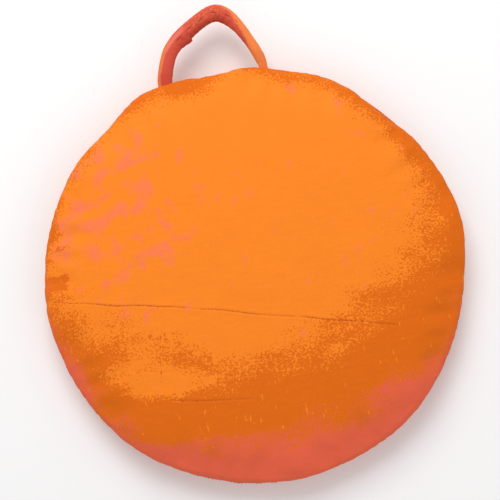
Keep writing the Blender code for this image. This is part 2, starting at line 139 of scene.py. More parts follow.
def outwardFaces(piece):
    edit(piece)
    selectAll()
    bpy.ops.mesh.remove_doubles(threshold=0.00001)
    bpy.ops.mesh.normals_make_consistent(inside=False)
    leaveEdit()


def applied(piece):
    takeUp(piece)
    for modifier in list(piece.modifiers):
        bpy.ops.object.modifier_apply(modifier=modifier.name)


def settle(piece):
    # leaves the piece's place in its mesh
    takeUp(piece)
    bpy.ops.object.transform_apply(location=True, rotation=True, scale=True)
    bpy.ops.object.shade_smooth()
    return piece


def remeshed(piece, voxel):
    piece.data.remesh_voxel_size = voxel
    takeUp(piece)
    bpy.ops.object.voxel_remesh()


def subdivided(piece):
    piece.modifiers.new("finer", "SUBSURF").levels = 1
    applied(piece)


def places(piece, what="co"):
    flat = np.empty(len(piece.data.vertices) * 3)
    piece.data.vertices.foreach_get(what, flat)
    return flat.reshape(-1, 3)


def setPlaces(piece, points):
    piece.data.vertices.foreach_set("co", points.astype(np.float32).ravel())
    piece.data.update()


def liftPlaces(piece, points, heights):
    # moves each point out along its normal
    setPlaces(piece, points + places(piece, "normal") * heights[:, None])


def keep(piece, name, values):
    # remembers a number at each point, for the cloth's colour
    attribute = piece.data.attributes.new(name, "FLOAT", "POINT")
    attribute.data.foreach_set("value", values.astype(np.float32))


def fromAxis(points):
    # each point's distance from the axis, and its way outward
    radius = np.hypot(points[:, 0], points[:, 1])
    return radius, points[:, :2] / np.maximum(radius, 1e-6)[:, None]


def clockwise(points):
    # degrees clockwise from +Y
    return np.degrees(np.arctan2(points[:, 0], points[:, 1]))


def onFloor(centre):
    return Vector((centre.x, centre.y, 0))


def groove(apart, width, lip, spread):
    # a groove of depth one, with a low lip on either side
    return np.exp(-((apart / width) ** 2)) - lip * np.exp(-((apart / (spread * width)) ** 2))


def smoothStep(low, high, value):
    part = np.clip((value - low) / (high - low), 0, 1)
    return part * part * (3 - 2 * part)


def roughness3d(points, size, seed):
    # soft noise from -1 to 1 at each point, with features of about the given size
    shift = Vector((seed * 7.3, seed * 3.1, seed * 5.7))
    return np.array([noise.noise(Vector(point) / size + shift) for point in points])


def spun(name, profile, centre, start, sweep, steps):
    # turns a closed outline of (radius, height) points about +Z, and closes its ends
    whole = abs(sweep - math.tau) < 0.001
    piece = disc(name, len(profile), 1, fill="NOTHING")
    first = [(r * math.cos(start), r * math.sin(start), z) for r, z in profile]
    setPlaces(piece, np.array(first))
    edit(piece)
    selectAll()
    # a spin about +Z turns clockwise, so its angle is given the other way round
    bpy.ops.mesh.spin(steps=steps, angle=-sweep, center=(0, 0, 0), axis=(0, 0, 1))
    selectAll()
    bpy.ops.mesh.remove_doubles(threshold=0.00001)
    if not whole:
        bpy.ops.mesh.select_all(action="DESELECT")
        bpy.ops.mesh.select_mode(type="EDGE")
        bpy.ops.mesh.select_non_manifold()
        bpy.ops.mesh.fill()
    leaveEdit()
    setPlaces(piece, places(piece) + np.array(onFloor(centre)))
    outwardFaces(piece)
    return piece


def turnAbout(piece, centre, angle):
    # turns the mesh itself about a line along +Z
    middle = np.array(onFloor(centre))
    x, y, z = (places(piece) - middle).T
    c, s = math.cos(angle), math.sin(angle)
    setPlaces(piece, np.stack([x * c - y * s, x * s + y * c, z], axis=1) + middle)


def copiedAround(piece, centre, step, count):
    # repeats the piece about a line along +Z through the centre
    bpy.ops.object.empty_add(location=centre, rotation=(0, 0, step))
    guide = bpy.context.object
    setPlaces(piece, places(piece) - np.array(centre))
    piece.location = centre
    modifier = piece.modifiers.new("copies", "ARRAY")
    modifier.count = count
    modifier.use_relative_offset = False
    modifier.use_object_offset = True
    modifier.offset_object = guide
    applied(piece)
    bpy.data.objects.remove(guide)
    return settle(piece)


# The camera looks straight down on the face, turned so that the handle stands to the left of the top.
cameraView = {
    "lens": 85,
    "turn": math.radians(11.8),
    "centre": (0.0006, 0.0223),
    "width": 0.4504,
}


def placeCamera(v):
    sensor = 36
    away = v["width"] * v["lens"] / sensor
    bpy.ops.object.camera_add(
        location=(v["centre"][0], v["centre"][1], frontSeamZ + away), rotation=(0, 0, -v["turn"])
    )
    camera = bpy.context.object
    camera.data.lens = v["lens"]
    camera.data.sensor_width = sensor
    bpy.context.scene.camera = camera


deselect()
placeCamera(cameraView)
print("camera placed")


# A large soft lamp beyond the handle, a weak one from the other side, and pale air all round.
studio = {
    "keyAway": 1.25, "keySideways": -0.35, "keyHigh": 1.45,
    "keySize": 1.1, "keyPower": 22, "keyColour": (1, 1, 1),
    "fillAway": -1.1, "fillSideways": 0.7, "fillHigh": 0.9,
    "fillSize": 1.0, "fillPower": 2.0, "fillColour": (1.0, 0.95, 0.93),
    "air": 0.6,
}


def lightStudio(v):
    beyond = Vector((math.sin(cameraView["turn"]), math.cos(cameraView["turn"]), 0))
    sideways = Vector((beyond.y, -beyond.x, 0))
    for name in ("key", "fill"):
        place = beyond * v[name + "Away"] + sideways * v[name + "Sideways"] + Vector((0, 0, v[name + "High"]))
        bpy.ops.object.light_add(type="AREA", location=place)
        lamp = bpy.context.object
        lamp.name = name + "Lamp"
        lamp.data.shape = "SQUARE"
        lamp.data.size = v[name + "Size"]
        lamp.data.energy = v[name + "Power"]
        lamp.data.color = v[name + "Colour"]
        lamp.rotation_euler = (-place).to_track_quat("-Z", "Y").to_euler()
    air = bpy.data.worlds.new("paleAir")
    air.use_nodes = True
    backdrop = air.node_tree.nodes["Background"]
    backdrop.inputs["Color"].default_value = (1, 1, 1, 1)
    backdrop.inputs["Strength"].default_value = v["air"]
    bpy.context.scene.world = air
    bpy.context.scene.view_settings.view_transform = "Standard"


lightStudio(studio)
print("studio lit")

# Where the slack front rim stands out or falls in: degrees clockwise from +Y, spread, millimetres.
rimShape = {
    "radius": 0.1892,
    "bins": 144,
    "waves": [
        (-35.5, 4.8, -3.5), (-21, 4, 2.6), (0, 6, -6.8), (19.5, 5, -3.6), (34, 5, -0.2),
        (49.5, 6.5, -5.2), (61, 4, 0.8), (83, 9, 3.7), (110, 5, -0.2), (147, 7, 1.5),
        (192, 14, -1.6), (229, 13, 1.0), (307, 10, -0.7),
    ],
    "from": 0.128,
    "to": 0.184,
}


def rimWave(degrees):
    total = np.zeros(len(degrees))
    for middle, spread, height in rimShape["waves"]:
        apart = (degrees - middle + 180) % 360 - 180
        total += height * mm * np.exp(-0.5 * (apart / spread) ** 2)
    return total


frontPad = {
    "sides": 180,
    "profile": [
        (0.183, 0.0002), (0.1866, 0.0004), (0.188, 0.0015), (0.1886, 0.004), (0.1872, 0.0068),
        (0.1835, 0.0086), (0.176, 0.01), (0.16, 0.0118), (0.135, 0.0136), (0.1, 0.0153),
        (0.06, 0.0163), (0.02, 0.0167), (0.004, 0.0168),
    ],  # radius, and height over the seam
    "voxel": 0.0042,
    "pressure": 4.0,
    "frames": 20,
    "ease": -0.045,  # how much longer the slack cloth is than its place
    "bending": 0.4,
    "furthest": 0.0045,
    "heldBelow": 0.0015,
    "heldWithin": 0.186,
    "slackest": 15,  # degrees clockwise from +Y
    "unevenness": 0.0006,
    "lumps": [0.075, 0.032],
}


def makeFrontPad(p):
    radius, height = p["profile"][0]
    piece = disc("coverFront", p["sides"], radius, (0, 0, frontSeamZ + height))
    allFaces(piece)
    for nextRadius, nextHeight in p["profile"][1:]:
        drawOut((0, 0, nextHeight - height), nextRadius / radius)
        radius, height = nextRadius, nextHeight
    leaveEdit()
    settle(piece)
    outwardFaces(piece)
    piece.data.use_remesh_preserve_volume = True
    remeshed(piece, p["voxel"])
    print("front pad", len(piece.data.vertices), "points")
    return piece


# How heavy and stiff the cloth is while it swells, and which points are held or slack.
clothSettings = {
    "quality": 6,
    "mass": 0.3,
    "tension_stiffness": 15,
    "compression_stiffness": 15,
    "shear_stiffness": 5,
    "use_pressure": True,
    "vertex_group_mass": "hold",
    "vertex_group_shrink": "loose",
    "shrink_min": 0,
}


def swell(piece, p, pinned, slack):
    # inflates the cloth, with some points held and some of it cut longer than its place
    start = places(piece)
    for name, shares in (("hold", pinned), ("loose", slack)):
        group = piece.vertex_groups.new(name=name)
        for index, share in enumerate(shares):
            group.add([index], float(share), "REPLACE")
    modifier = piece.modifiers.new("cloth", "CLOTH")
    cloth = modifier.settings
    for name, value in clothSettings.items():
        setattr(cloth, name, value)
    cloth.bending_stiffness = p["bending"]
    cloth.uniform_pressure_force = p["pressure"]
    cloth.shrink_max = p["ease"]
    cloth.effector_weights.gravity = 0
    modifier.collision_settings.use_self_collision = False
    modifier.point_cache.frame_start = 1
    modifier.point_cache.frame_end = p["frames"]
    for step in range(1, p["frames"] + 1):
        bpy.context.scene.frame_set(step)
    graph = bpy.context.evaluated_depsgraph_get()
    moved = places(piece.evaluated_get(graph))
    piece.modifiers.remove(modifier)
    bpy.context.scene.frame_set(1)
    way = moved - start
    length = np.linalg.norm(way, axis=1)
    share = np.minimum(1, p["furthest"] / np.maximum(length, 1e-9))
    setPlaces(piece, start + way * share[:, None])
    print(piece.name, "swelled by up to", round(float(length.max()) / mm, 1), "mm")


def swellFrontPad(piece, p):
    start = places(piece)
    radius, _ = fromAxis(start)
    height = start[:, 2] - frontSeamZ
    pinned = ((height < p["heldBelow"]) & (radius < p["heldWithin"])).astype(float)
    topSide = 0.5 + 0.5 * np.cos(np.radians(clockwise(start) - p["slackest"]))
    slack = smoothStep(0.1, 0.165, radius) * (0.25 + 0.75 * topSide)
    swell(piece, p, pinned, slack)


def rimReach(points):
    # how far the rim stands out now, for any direction
    bins = rimShape["bins"]
    radius, _ = fromAxis(points)
    place = (clockwise(points) % 360) / 360 * bins
    reach = np.zeros(bins)
    np.maximum.at(reach, place.astype(int) % bins, radius)
    reach = (np.roll(reach, 1) + reach * 2 + np.roll(reach, -1)) / 4
    middles = (np.arange(bins + 2) - 0.5) * 360 / bins
    return lambda degrees: np.interp(degrees % 360, middles, np.concatenate([reach[-1:], reach, reach[:1]]))


def shapeFrontPad(piece, p):
    points = places(piece)
    radius, outward = fromAxis(points)
    height = points[:, 2] - frontSeamZ
    share = smoothStep(rimShape["from"], rimShape["to"], radius)
    share *= np.maximum(smoothStep(-0.0005, 0.003, height), smoothStep(0.1825, 0.185, radius))
    degrees = clockwise(points)
    move = rimShape["radius"] + rimWave(degrees) - rimReach(points)(degrees)
    points[:, :2] += outward * (move * share)[:, None]
    top = smoothStep(0.002, 0.008, height)
    large, small = p["lumps"]
    lumps = roughness3d(points, large, 1) + 0.5 * roughness3d(points, small, 2)
    points[:, 2] += lumps * p["unevenness"] * top
    setPlaces(piece, points)


deselect()
coverFront = makeFrontPad(frontPad)
swellFrontPad(coverFront, frontPad)
shapeFrontPad(coverFront, frontPad)
subdivided(coverFront)

# Folds that the cloth keeps from being packed: start, end, depth and half width in metres.
packingFolds = {
    "lines": [
        ((-0.183, 0.013), (-0.06, -0.0175), 0.0006, 0.0011),
        ((-0.06, -0.0175), (0.03, -0.044), 0.0005, 0.0011),
        ((0.03, -0.044), (0.118, -0.07), 0.0006, 0.0011),
        ((-0.152, -0.056), (-0.088, -0.07), 0.00025, 0.0016),
        ((-0.1, -0.093), (-0.022, -0.1075), 0.0005, 0.0011),
        ((-0.092, -0.035), (-0.101, -0.08), 0.00035, 0.0011),
        ((-0.006, -0.06), (-0.01, -0.083), 0.00035, 0.0011),
        ((0.169, 0.068), (0.1585, 0.024), 0.00035, 0.0011),
    ],
    "puckers": [
        (291, 0.16, 0.187, 0.0006), (284.5, 0.172, 0.187, 0.0005), (279.5, 0.156, 0.187, 0.0007),
        (273.5, 0.146, 0.186, 0.0005), (268, 0.168, 0.187, 0.0004), (262, 0.172, 0.187, 0.0003),
        (-33, 0.166, 0.187, 0.0006), (-16, 0.16, 0.186, 0.0009), (-9, 0.17, 0.186, 0.0006),
        (-4, 0.156, 0.186, 0.0009), (4, 0.166, 0.186, 0.0006), (10, 0.158, 0.186, 0.0009),
        (18, 0.16, 0.186, 0.0008), (27, 0.17, 0.187, 0.0005), (43, 0.16, 0.187, 0.0007),
        (52, 0.156, 0.187, 0.0008), (64, 0.168, 0.187, 0.0005), (203, 0.164, 0.187, 0.0004),
        (171, 0.17, 0.187, 0.0003),
    ],  # degrees clockwise from +Y, from and to radius, depth
    "puckerWidth": 0.0034,
    "deepest": 0.00045,  # depth from which a fold has its full painted crease shade
    "reach": 0.0045,  # to either side of a fold, where the mesh is made finer
}


def alongLine(points, start, end):
    # distance to the line, and how far along it each point is, from 0 to 1
    start, end = np.array(start), np.array(end)
    way = end - start
    length = np.linalg.norm(way)
    offset = points[:, :2] - start
    part = offset @ way / length**2
    apart = (offset[:, 0] * way[1] - offset[:, 1] * way[0]) / length
    return apart, part


def foldDepth(points):
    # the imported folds' depth, and that of the puckers round the rim
    total = np.zeros(len(points))
    drift = roughness3d(points, 0.03, 9) * 0.0012
    for start, end, depth, width in packingFolds["lines"]:
        apart, part = alongLine(points, start, end)
        apart = apart + drift
        fade = smoothStep(-0.03, 0.08, part) * (1 - smoothStep(0.92, 1.03, part))
        total -= depth * fade * groove(apart, width, 0.45, 2.4)
    degrees = clockwise(points)
    radius, _ = fromAxis(points)
    width = packingFolds["puckerWidth"]
    gathers = np.zeros(len(points))
    for angle, inner, outer, depth in packingFolds["puckers"]:
        apart = np.radians((degrees - angle + 180) % 360 - 180) * radius + drift * 2
        fade = smoothStep(inner, inner + 0.7 * (outer - inner), radius)
        gathers -= depth * fade * groove(apart, width, 0.3, 2.5)
    return total, gathers


def creaseFrontPad(piece):
    def byFold(face):
        place = face.calc_center_median()
        if place.z < frontSeamZ + 0.004:
            return False
        point = np.array([[place.x, place.y, place.z]])
        for start, end, _, _ in packingFolds["lines"]:
            apart, part = alongLine(point, start, end)
            if abs(apart[0]) < packingFolds["reach"] and -0.05 < part[0] < 1.05:
                return True
        return False

    edit(piece)
    pickFaces(piece, byFold)
    bpy.ops.mesh.subdivide(number_cuts=3)
    leaveEdit()
    points = places(piece)
    top = smoothStep(0.001, 0.004, points[:, 2] - frontSeamZ)
    folds, gathers = foldDepth(points)
    liftPlaces(piece, points, (folds + gathers) * top)
    # the folds' depth, kept for the painted shade in them
    keep(piece, "fold", np.clip(-folds * top / packingFolds["deepest"], 0, 1))


creaseFrontPad(coverFront)
settle(coverFront)
print("front made")

# The back panel lies flat on the floor, and its rolled edge stands up to the back seam.
backPanel = {
    "outline": [
        (0, 0.0001), (0.02, 0.0001), (0.05, 0.00012), (0.08, 0.00015), (0.11, 0.00015),
        (0.14, 0.00012), (0.16, 0.0001), (0.172, 0.0001), (0.18, 0.00014), (0.1845, 0.00035),
        (0.1875, 0.00095), (0.1893, 0.0018), (0.1898, 0.0026), (0.1892, 0.0033), (0.1878, 0.0036),
        (0.184, 0.0036), (0.1815, 0.0035), (0.1815, 0.003), (0.186, 0.0029), (0.1882, 0.0025),
        (0.187, 0.0019), (0.184, 0.00145), (0.17, 0.0012), (0.12, 0.0012), (0.06, 0.0012),
        (0, 0.0012),
    ],  # radius and height
    "steps": 360,
    "puckers": 0.00055,
    "gathers": 0.0004,
    "slackDip": 0.005,  # how far the slack rim falls in between the handle's feet
    "dipSpread": 7,
}


def waveRim(piece, depth, size, seed, high=None):
    # small gathers that run across a rim's seam, in and out from the axis
    points = places(piece)
    radius, outward = fromAxis(points)
    turn = np.arctan2(points[:, 1], points[:, 0])
    probe = np.stack([np.cos(turn), np.sin(turn), points[:, 2] / 0.05], axis=1) * bandRadius
    waves = roughness3d(probe, size, seed) + 0.5 * roughness3d(probe, size * 0.45, seed + 1)
    share = smoothStep(0.172, 0.187, radius)
    if high is not None:
        share = share * high(points[:, 2])
    points[:, :2] += outward * (waves * depth * share)[:, None]
    setPlaces(piece, points)


def makeCoverBack(v):
    piece = spun("coverBack", v["outline"], axisCentre, 0, math.tau, v["steps"])
    points = places(piece)
    radius, outward = fromAxis(points)
    degrees = clockwise(points)
    gathers = np.sin(np.radians(degrees) * 47) + 0.7 * np.sin(np.radians(degrees) * 81 + 1.3)
    share = smoothStep(0.166, 0.186, radius) * (1 - smoothStep(0.187, 0.1895, radius))
    lower = points[:, 2] < 0.0022
    points[:, 2] += np.where(lower, np.abs(gathers) * share * v["puckers"], 0)
    dip = v["slackDip"] * np.exp(-0.5 * (degrees / v["dipSpread"]) ** 2)
    points[:, :2] -= outward * (dip * smoothStep(0.174, 0.187, radius))[:, None]
    setPlaces(piece, points)
    waveRim(piece, v["gathers"], 0.011, 21)
    return settle(piece)


deselect()
coverBack = makeCoverBack(backPanel)
print("back made")

# The plain half of the rim: one band of cloth, drawn in at both of its seams.
sideBand = {
    "outline": [
        (0.1864, 0.0038), (0.1876, 0.0044), (0.1884, 0.0062), (0.1888, 0.0105), (0.189, 0.016),
        (0.1889, 0.0215), (0.1884, 0.0258), (0.1876, 0.0277), (0.1862, 0.0282), (0.1852, 0.0274),
        (0.1861, 0.025), (0.1868, 0.021), (0.1871, 0.016), (0.1869, 0.011), (0.1863, 0.007),
        (0.1853, 0.0048),
    ],  # radius and height
    "stepLength": 0.0022,
    "gathers": 0.0011,
}


def gatheredBand(name, outline, arc, v, size, seed, high):
    # a band of cloth along part of the rim, with gathers where high says
    centre, radius, start, sweep = arc
    piece = spun(name, outline, centre, start, sweep, int(sweep * radius / v["stepLength"]))
    subdivided(piece)
    waveRim(piece, v["gathers"], size, seed, high)
    return settle(piece)


def makeCoverSide(v):
    def nearSeams(height):
        middle = (bandLowZ + bandHighZ) / 2
        return 0.35 + 0.65 * smoothStep(0.004, 0.011, np.abs(height - middle))

    return gatheredBand("coverSide", v["outline"], plainHalf, v, 0.01, 31, nearSeams)


deselect()
coverSide = makeCoverSide(sideBand)
print("side band made")

# The two narrow strips beside the zip, each with its raw edge folded under along the zip.
zipStrip = {
    "face": 0.0004,  # how far the strip's face lies inside the zip's radius
    "outline": [
        (0.0022, 0, 0), (0.001, 0, 0.0004), (0.0003, 0, 0.0016), (-0.0002, 0.5, 0), (0.0001, 1, -0.0016),
        (0.0003, 1, -0.0006), (0.0007, 1, -0.0001), (0.0013, 1, -0.0003), (0.0015, 1, -0.001),
        (0.0014, 1, -0.0022), (0.0013, 0.5, 0), (0.0022, 0, 0.002), (0.003, 0, 0.0008),
    ],  # depth under the face, part of the width from the seam, and distance beyond that
    "stepLength": 0.0022,
    "gathers": 0.0004,
}


def makeZipStrip(name, seamZ, openZ, v):
    # from the seam, where the strip is drawn in, to its folded edge beside the zip
    towards = 1 if openZ > seamZ else -1
    width = abs(openZ - seamZ)
    outer = zipRadius - v["face"]
    outline = [
        (outer - depth, seamZ + towards * (width * part + beyond)) for depth, part, beyond in v["outline"]
    ]

    def nearSeam(height):
        return 1 - smoothStep(0.001, width * 0.9, np.abs(height - seamZ))

    return gatheredBand(name, outline, zipHalf, v, 0.009, 41, nearSeam)


deselect()
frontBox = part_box("zip_band_front")
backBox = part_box("zip_band_back")
zipStripFront = makeZipStrip("zipStripFront", frontBox[1].z - 0.0001, frontBox[0].z, zipStrip)
zipStripBack = makeZipStrip("zipStripBack", backBox[0].z + 0.0001, backBox[1].z, zipStrip)
print("zip strips made")

# Coil zip: short bars bent from nylon line, the two rows half a pitch apart.
zipCoil = {
    "pitch": 0.0015,
    "wire": 0.00054,
    "sides": 7,
    "root": 0.0029,
    "head": 0.00036,
    "seat": 0.189,
    "rise": 0.0013,
    "startAfter": math.radians(1.7),
    # how far along a bar, how high in its bend, and how much wider than before
    "bend": [(0.1, 0.55, 1), (0.3, 0.92, 1), (0.62, 1.0, 1), (0.88, 0.86, 1.25), (1.0, 0.6, 0.55)],
}


def makeZipCoil(name, side, shift, v):
    # one bar from its root on the tape to its head, then copied round the arc
    angle = zipStart + v["startAfter"] + shift * v["pitch"] / zipRadius
    count = int((zipSweep - 2 * v["startAfter"]) * zipRadius / v["pitch"])
    length = v["root"] - v["head"]
    half = v["wire"] / 2
    piece = disc(name, v["sides"], half, (v["seat"] + half, 0, zipZ + side * v["root"]))
    allFaces(piece)
    gone, risen = 0, 0
    for part, rise, grow in v["bend"]:
        drawOut((v["rise"] * rise - risen, 0, -side * (part - gone) * length), grow)
        gone, risen = part, v["rise"] * rise
    leaveEdit()
    settle(piece)
    outwardFaces(piece)
    setPlaces(piece, places(piece) + np.array(onFloor(zipCentre)))
    turnAbout(piece, zipCentre, angle)
    return copiedAround(piece, onFloor(zipCentre), v["pitch"] / zipRadius, count)


deselect()
zipCoilFront = makeZipCoil("zipCoilFront", 1, 0, zipCoil)
zipCoilBack = makeZipCoil("zipCoilBack", -1, 0.5, zipCoil)
print("zip coils made")

# A folded scrap of cloth sewn over either end of the zip.
endTab = {
    "thickness": 0.00075,
    "overBand": 0.1891,
    "overZip": 0.1901,
    "bevel": 0.0003,
    "cutAbove": 0.8e-6,  # faces larger than this are cut finer, in square metres
    "soft": 0.00018,
}


def makeEndTab(name, node, v):
    low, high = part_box(node)
    middle = (low + high) / 2
    angle = math.atan2(middle.y - zipCentre.y, middle.x - zipCentre.x)
    spread = 2 * math.asin((high.y - low.y) / 2 / zipRadius)
    inner, outer = v["overBand"], v["overBand"] + v["thickness"]
    outline = [(inner, low.z), (outer, low.z), (outer, high.z), (inner, high.z)]
    piece = spun(name, outline, zipCentre, angle - spread / 2, spread, 8)
    bevel = piece.modifiers.new("roundEdges", "BEVEL")
    bevel.width = v["bevel"]
    bevel.segments = 3
    applied(piece)
    edit(piece)
    pickFaces(piece, lambda face: face.calc_area() > v["cutAbove"])
    bpy.ops.mesh.subdivide(number_cuts=6)
    leaveEdit()
    points = places(piece)
    _, outward = fromAxis(points - np.array(onFloor(zipCentre)))
    lumps = np.abs(roughness3d(points, 0.004, 51)) * v["soft"]
    rise = (v["overZip"] - v["overBand"]) * smoothStep(-0.003, 0.004, points[:, 1])
    points[:, :2] += outward * (lumps + rise)[:, None]
    setPlaces(piece, points)
    return settle(piece)


deselect()
endTabRight = makeEndTab("endTabRight", "zip_end_tab_right", endTab)
endTabLeft = makeEndTab("endTabLeft", "zip_end_tab_left", endTab)
print("end tabs made")

# The carry handle, from under the rim at the left, over its apex and back under the rim.
handleTube = {
    "route": [
        (-44.6, 176, 6.0), (-43.4, 187, 7.0), (-40.3, 197, 6.9), (-36.7, 205.5, 6.8),
        (-31.2, 214.0, 7.1), (-20.5, 222.8, 7.7), (-8.0, 230.3, 7.4), (1.5, 235.1, 7.4),
        (9.5, 237.7, 7.9), (15.5, 237.2, 8.0), (21.8, 233.4, 7.4), (27.6, 227.2, 6.5),
        (35.6, 213.4, 5.3), (41.6, 199.6, 5.1), (44.9, 189.2, 4.9), (46.0, 181.5, 4.0), (46.4, 176, 3.8),
    ],  # mm in plan, and half width
    "halfHeight": 0.0054,
    "footHalfHeight": 0.0009,
    "footLength": 0.022,
    "sides": 20,
    "step": 0.0028,
    "fineStep": 0.0008,
    "voxel": 0.0014,
    "pressure": 3.0,
    "frames": 16,
    "ease": -0.05,
    "bending": 0.15,
    "furthest": 0.0009,
    "held": 0.01,  # length of either foot that the swelling leaves alone
    "deepest": 0.0009,  # depth from which a fold has its full painted crease shade
    "creaseDepth": 0.0006,
    "lapHeight": 0.0021,
}


def smoothRoute(points, step):
    # a smooth curve through the points, walked in even steps
    points = np.array([points[0], *points, points[-1]], dtype=float)
    part = np.linspace(0, 1, 24, endpoint=False)[:, None]
    weights = [
        -0.5 * part + part**2 - 0.5 * part**3, 1 - 2.5 * part**2 + 1.5 * part**3,
        0.5 * part + 2 * part**2 - 1.5 * part**3, -0.5 * part**2 + 0.5 * part**3,
    ]
    spans = range(len(points) - 3)
    curves = [sum(weight * points[span + k] for k, weight in enumerate(weights)) for span in spans]
    fine = np.concatenate([*curves, points[-1:]])
    gone = np.concatenate([[0], np.cumsum(np.linalg.norm(np.diff(fine[:, :2], axis=0), axis=1))])
    even = np.linspace(0, gone[-1], int(gone[-1] / step) + 1)
    return np.stack([np.interp(even, gone, fine[:, k]) for k in range(fine.shape[1])], axis=1), even


def handleStations(v, step):
    # places and half widths along the handle, its direction and half height at each, and how far along
    stations, gone = smoothRoute([(x * mm, y * mm, half * mm) for x, y, half in v["route"]], step)
    ways = np.gradient(stations[:, :2], axis=0)
    ways /= np.linalg.norm(ways, axis=1)[:, None]
    share = smoothStep(0.004, v["footLength"], np.minimum(gone, gone[-1] - gone))
    heights = v["footHalfHeight"] + (v["halfHeight"] - v["footHalfHeight"]) * share
    return stations, ways, heights, gone


def makeHandle(v):
    stations, ways, heights, _ = handleStations(v, v["step"])
    angles = np.arange(v["sides"]) * math.tau / v["sides"]

    def ring(index):
        x, y, half = stations[index]
        wayX, wayY = ways[index]
        side, up = half * np.cos(angles), heights[index] * np.sin(angles)
        return np.stack([x - wayY * side, y + wayX * side, bandHighZ + up], axis=1)

    piece = disc("handleLoop", v["sides"], 0.005)
    setPlaces(piece, ring(0))
    allFaces(piece)
    for index in range(1, len(stations)):
        drawOut((0, 0.001, 0))
        cage = bmesh.from_edit_mesh(piece.data)
        chosen = [vertex for vertex in cage.verts if vertex.select]
        for vertex, place in zip(sorted(chosen, key=lambda vertex: vertex.index), ring(index)):
            vertex.co = place
        bmesh.update_edit_mesh(piece.data)
    leaveEdit()
    outwardFaces(piece)
    remeshed(piece, v["voxel"])
    return piece


def alongHandle(points, v):
    # for each point: how far along the handle it is, and where round it, from -1 inside to 1 outside
    stations, ways, _, gone = handleStations(v, v["fineStep"])
    line = KDTree(len(stations))
    for index, station in enumerate(stations):
        line.insert((station[0], station[1], 0), index)
    line.balance()
    nearest = np.array([line.find((p[0], p[1], 0))[1] for p in points])
    offset = points[:, :2] - stations[nearest, :2]
    across = ways[nearest, 1] * -offset[:, 0] + ways[nearest, 0] * offset[:, 1]
    return gone[nearest], across / stations[nearest, 2], points[:, 2] - bandHighZ


# Where the loop is bent, its inner side bunches up in folds: how far along, lean, depth and width.
handleFolds = [
    (0.04, 0.1, 0.0004, 0.0018), (0.0465, -0.1, 0.0007, 0.0016), (0.0525, 0.15, 0.0009, 0.0015),
    (0.059, 0.2, 0.0011, 0.0016), (0.0655, 0.1, 0.0008, 0.0014), (0.0715, -0.1, 0.001, 0.0017),
    (0.079, 0.1, 0.0006, 0.0015), (0.086, 0.3, 0.0009, 0.0016), (0.0925, 0.1, 0.0011, 0.0015),
    (0.0985, -0.2, 0.0009, 0.0014), (0.1045, -0.3, 0.0011, 0.0016), (0.111, -0.2, 0.0007, 0.0015),
    (0.119, 0.1, 0.0004, 0.0018), (0.0225, 0.2, 0.0005, 0.002), (0.156, -0.2, 0.0004, 0.002),
]


def foldHandle(piece, v):
    # crosswise folds on top of the inner side, a lengthwise crease above them, and one lap of cloth
    points = places(piece)
    gone, across, high = alongHandle(points, v)
    depth = np.zeros(len(points))
    for place, lean, deep, width in handleFolds:
        apart = gone - place - lean * 0.01 * (across + 1) * 0.5
        fade = np.exp(-(((across + 0.3) / 0.38) ** 2)) + 0.25 * (across < -0.3)
        depth -= deep * fade * groove(apart, width, 0.5, 2.1)
    folded = -depth / v["deepest"]
    # a crease runs lengthwise where the inner side's slack meets the taut outer side
    lengthwise = smoothStep(0.04, 0.052, gone) * (1 - smoothStep(0.104, 0.12, gone))
    wander = 0.07 * np.sin(gone * 310) + 0.05 * np.sin(gone * 730 + 1) - 0.02
    broken = 0.55 + 0.45 * np.sin(gone * 480 + 2)
    crease = np.exp(-(((across - wander) / 0.1) ** 2)) * (high > 0) * lengthwise * broken
    depth -= v["creaseDepth"] * crease
    lap = smoothStep(0.046, 0.0595, gone) * (1 - smoothStep(0.0595, 0.0606, gone))
    depth += v["lapHeight"] * lap * (1 - smoothStep(-0.95, -0.4, across))
    probe = np.stack([gone, across * 0.006, high], axis=1)
    depth += roughness3d(probe, 0.011, 61) * 0.00035 + roughness3d(probe, 0.005, 62) * 0.00012
    liftPlaces(piece, points, depth)
    # how deep the folds and crease are, kept for the painted shade in them
    keep(piece, "fold", np.clip(np.maximum(folded, crease), 0, 1))
    keep(piece, "along", gone / gone.max())
    keep(piece, "inward", 0.5 - across * 0.5)


deselect()
handleLoop = makeHandle(handleTube)
gone, across, _ = alongHandle(places(handleLoop), handleTube)
fromFoot = np.minimum(gone, gone.max() - gone)
slack = smoothStep(handleTube["held"], 0.03, fromFoot) * (1 - 0.6 * smoothStep(-0.5, 0.8, across))
swell(handleLoop, handleTube, (fromFoot < handleTube["held"]).astype(float), slack)
subdivided(handleLoop)
foldHandle(handleLoop, handleTube)
settle(handleLoop)
print("handle made")

# Sewing thread: short rounded stitches that sink a little into the cloth at either end.
stitching = {
    "long": 0.0026,
    "pitch": 0.0034,
    "thick": 0.00052,
    "sunk": 0.00006,
    "reach": 0.006,  # furthest that a stitch moves to lie on its cloth
    "fromSeam": 0.0021,
    "fromZip": 0.00147,
}


def makeStitch(name, place, length, thick):
    # one stitch, lying along Y
    bpy.ops.mesh.primitive_cylinder_add(
        vertices=6, radius=thick / 2, depth=length * 0.72, location=place,
        rotation=(math.pi / 2, 0, 0), end_fill_type="NGON",
    )
    piece = named(name)
    settle(piece)
    edit(piece)
    for end in (-1, 1):
        way = Vector((0, end, 0))
        pickFaces(piece, lambda face: face.normal.dot(way) > 0.9)
        drawOut(way * length * 0.14 - Vector((thick * 0.25, 0, 0)))
        bpy.ops.transform.resize(value=(0.5, 0.5, 0.5))
    leaveEdit()
    outwardFaces(piece)
    return piece


